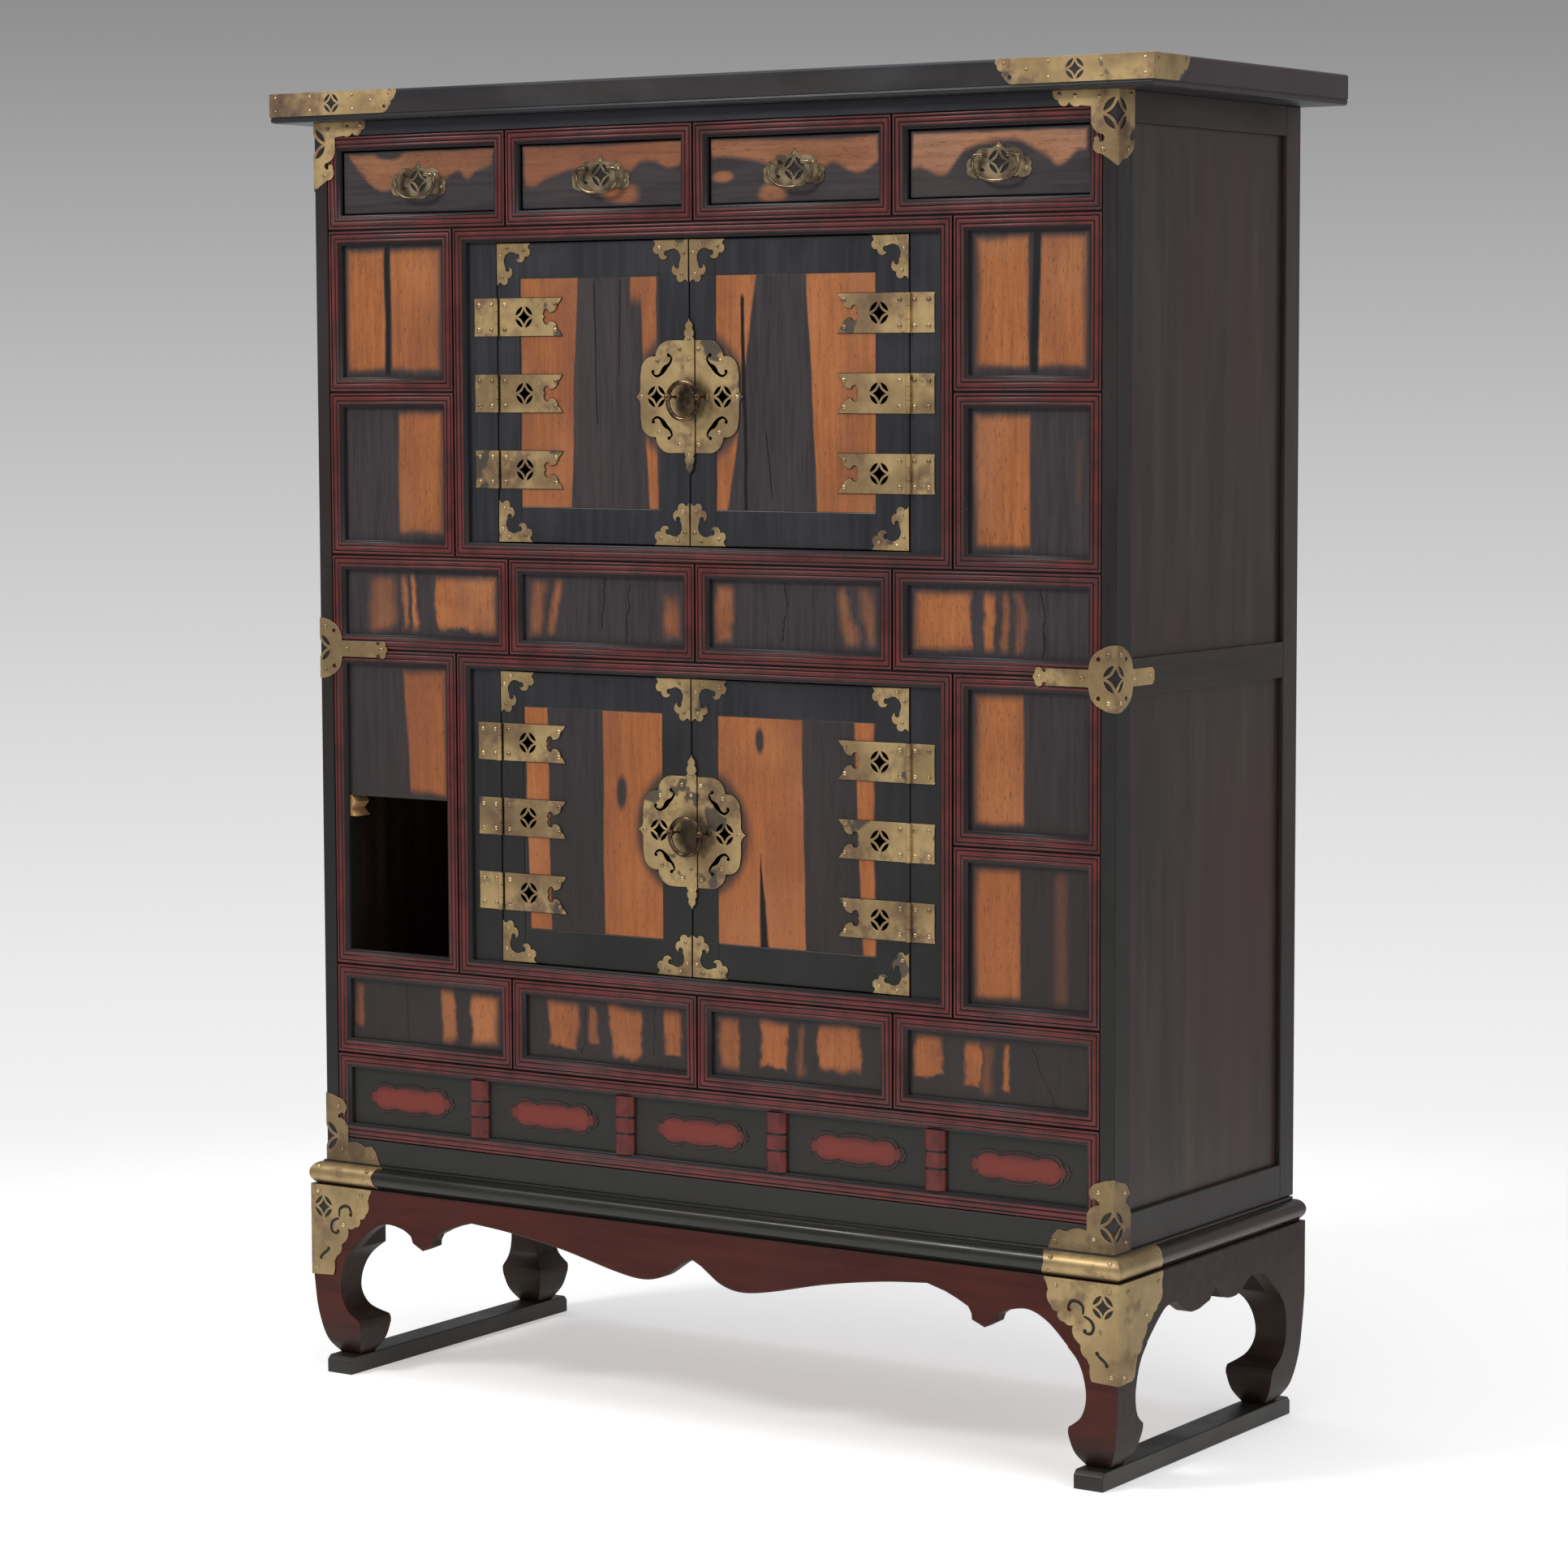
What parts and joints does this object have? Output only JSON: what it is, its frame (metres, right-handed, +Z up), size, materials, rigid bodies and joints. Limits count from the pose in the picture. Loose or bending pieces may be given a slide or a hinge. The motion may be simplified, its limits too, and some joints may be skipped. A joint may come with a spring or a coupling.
{
  "type": "two tier clothing chest",
  "caption": "Tall two-tier wardrobe chest with drawers over two cabinets, double doors with brass mounts, framed small panels and a scrolled stand on ground rails.",
  "frame": {"origin": "middle of the bounding box's bottom face, on the ground", "axes": "+X to the viewer's right, +Y to the back, +Z up; the front looks along -Y"},
  "size_m": [1.1394, 0.4287, 1.46],
  "materials": {
    "black_lacquer": "worn black lacquer on wood, satin",
    "red_lacquer": "dark red lacquer, ribbed, worn",
    "figured_persimmon": "persimmon wood, black heart with orange bands, varnished",
    "stand_lacquer": "dark red-brown lacquer, rubbed at the edges",
    "bare_wood": "unfinished softwood, darkened",
    "brass_mounts": "aged brass sheet with brown patina"
  },
  "bodies": {
    "case": {"corner_posts": "black_lacquer", "front_rails": "black_lacquer", "front_muntins": "black_lacquer", "broken_rail_stubs": "bare_wood", "hinge_stiles": "black_lacquer", "side_rails": "black_lacquer", "side_panels": "figured_persimmon", "back_rails": "black_lacquer", "back_panels": "bare_wood", "floor_boards": "bare_wood", "drawer_partitions": "bare_wood", "top_board": "black_lacquer", "drawer_row_mouldings": "red_lacquer", "upper_tier_mouldings": "red_lacquer", "lower_tier_mouldings": "red_lacquer", "apron_row_moulding": "red_lacquer", "upper_tier_panels": "figured_persimmon", "lower_tier_panels": "figured_persimmon", "apron_row_panels": "black_lacquer", "cartouches": "red_lacquer", "bamboo_dividers": "red_lacquer", "base_moulding": "black_lacquer", "legs": "stand_lacquer", "aprons": "stand_lacquer", "runners": "stand_lacquer", "case_hinge_leaves": "brass_mounts", "case_corner_plates": "brass_mounts", "top_board_caps": "brass_mounts", "stand_plates": "brass_mounts"},
    "upper_left_door": {"upper_left_door_frame": "black_lacquer", "upper_left_door_panel": "figured_persimmon", "upper_left_door_brass": "brass_mounts"},
    "upper_right_door": {"upper_right_door_frame": "black_lacquer", "upper_right_door_panel": "figured_persimmon", "upper_right_door_brass": "brass_mounts"},
    "upper_ring": {"upper_ring": "brass_mounts"},
    "lower_left_door": {"lower_left_door_frame": "black_lacquer", "lower_left_door_panel": "figured_persimmon", "lower_left_door_brass": "brass_mounts"},
    "lower_right_door": {"lower_right_door_frame": "black_lacquer", "lower_right_door_panel": "figured_persimmon", "lower_right_door_brass": "brass_mounts"},
    "lower_ring": {"lower_ring": "brass_mounts"},
    "drawer_1": {"drawer_1_front": "figured_persimmon", "drawer_1_box": "bare_wood", "drawer_1_pull": "brass_mounts"},
    "drawer_1_bail": {"drawer_1_bail": "brass_mounts"},
    "drawer_2": {"drawer_2_front": "figured_persimmon", "drawer_2_box": "bare_wood", "drawer_2_pull": "brass_mounts"},
    "drawer_2_bail": {"drawer_2_bail": "brass_mounts"},
    "drawer_3": {"drawer_3_front": "figured_persimmon", "drawer_3_box": "bare_wood", "drawer_3_pull": "brass_mounts"},
    "drawer_3_bail": {"drawer_3_bail": "brass_mounts"},
    "drawer_4": {"drawer_4_front": "figured_persimmon", "drawer_4_box": "bare_wood", "drawer_4_pull": "brass_mounts"},
    "drawer_4_bail": {"drawer_4_bail": "brass_mounts"}
  },
  "joints": [
    {"name": "upper_left_door_hinge", "type": "hinge", "parent": "case", "child": "upper_left_door", "pos_m": [-0.268, -0.19125, 1.124], "axis": [0, 0, -1], "range_deg": [0, 150]},
    {"name": "upper_right_door_hinge", "type": "hinge", "parent": "case", "child": "upper_right_door", "pos_m": [0.268, -0.19125, 1.124], "axis": [0, 0, 1], "range_deg": [0, 138]},
    {"name": "upper_ring_swing", "type": "hinge", "parent": "upper_left_door", "child": "upper_ring", "pos_m": [-0.01, -0.20133, 1.12], "axis": [-1, 0, 0], "range_deg": [-12, 25]},
    {"name": "lower_left_door_hinge", "type": "hinge", "parent": "case", "child": "lower_left_door", "pos_m": [-0.268, -0.19125, 0.65525], "axis": [0, 0, -1], "range_deg": [0, 150]},
    {"name": "lower_right_door_hinge", "type": "hinge", "parent": "case", "child": "lower_right_door", "pos_m": [0.268, -0.19125, 0.65525], "axis": [0, 0, 1], "range_deg": [0, 138]},
    {"name": "lower_ring_swing", "type": "hinge", "parent": "lower_left_door", "child": "lower_ring", "pos_m": [-0.01, -0.20133, 0.65125], "axis": [-1, 0, 0], "range_deg": [-12, 25]},
    {"name": "drawer_1_slide", "type": "slide", "parent": "case", "child": "drawer_1", "axis": [0, -1, 0], "range_m": [0, 0.24]},
    {"name": "drawer_1_bail_swing", "type": "hinge", "parent": "drawer_1", "child": "drawer_1_bail", "pos_m": [-0.37575, -0.19695, 1.36545], "axis": [-1, 0, 0], "range_deg": [0, 85]},
    {"name": "drawer_2_slide", "type": "slide", "parent": "case", "child": "drawer_2", "axis": [0, -1, 0], "range_m": [0, 0.24]},
    {"name": "drawer_2_bail_swing", "type": "hinge", "parent": "drawer_2", "child": "drawer_2_bail", "pos_m": [-0.12525, -0.19695, 1.36545], "axis": [-1, 0, 0], "range_deg": [0, 85]},
    {"name": "drawer_3_slide", "type": "slide", "parent": "case", "child": "drawer_3", "axis": [0, -1, 0], "range_m": [0, 0.24]},
    {"name": "drawer_3_bail_swing", "type": "hinge", "parent": "drawer_3", "child": "drawer_3_bail", "pos_m": [0.12525, -0.19695, 1.36545], "axis": [-1, 0, 0], "range_deg": [0, 85]},
    {"name": "drawer_4_slide", "type": "slide", "parent": "case", "child": "drawer_4", "axis": [0, -1, 0], "range_m": [0, 0.24]},
    {"name": "drawer_4_bail_swing", "type": "hinge", "parent": "drawer_4", "child": "drawer_4_bail", "pos_m": [0.37575, -0.19695, 1.36545], "axis": [-1, 0, 0], "range_deg": [0, 85]}
  ],
  "couplings": [
    {"joint": "upper_right_door_hinge", "follows": "upper_left_door_hinge", "ratio": 0.92},
    {"joint": "lower_right_door_hinge", "follows": "lower_left_door_hinge", "ratio": 0.92}
  ]
}
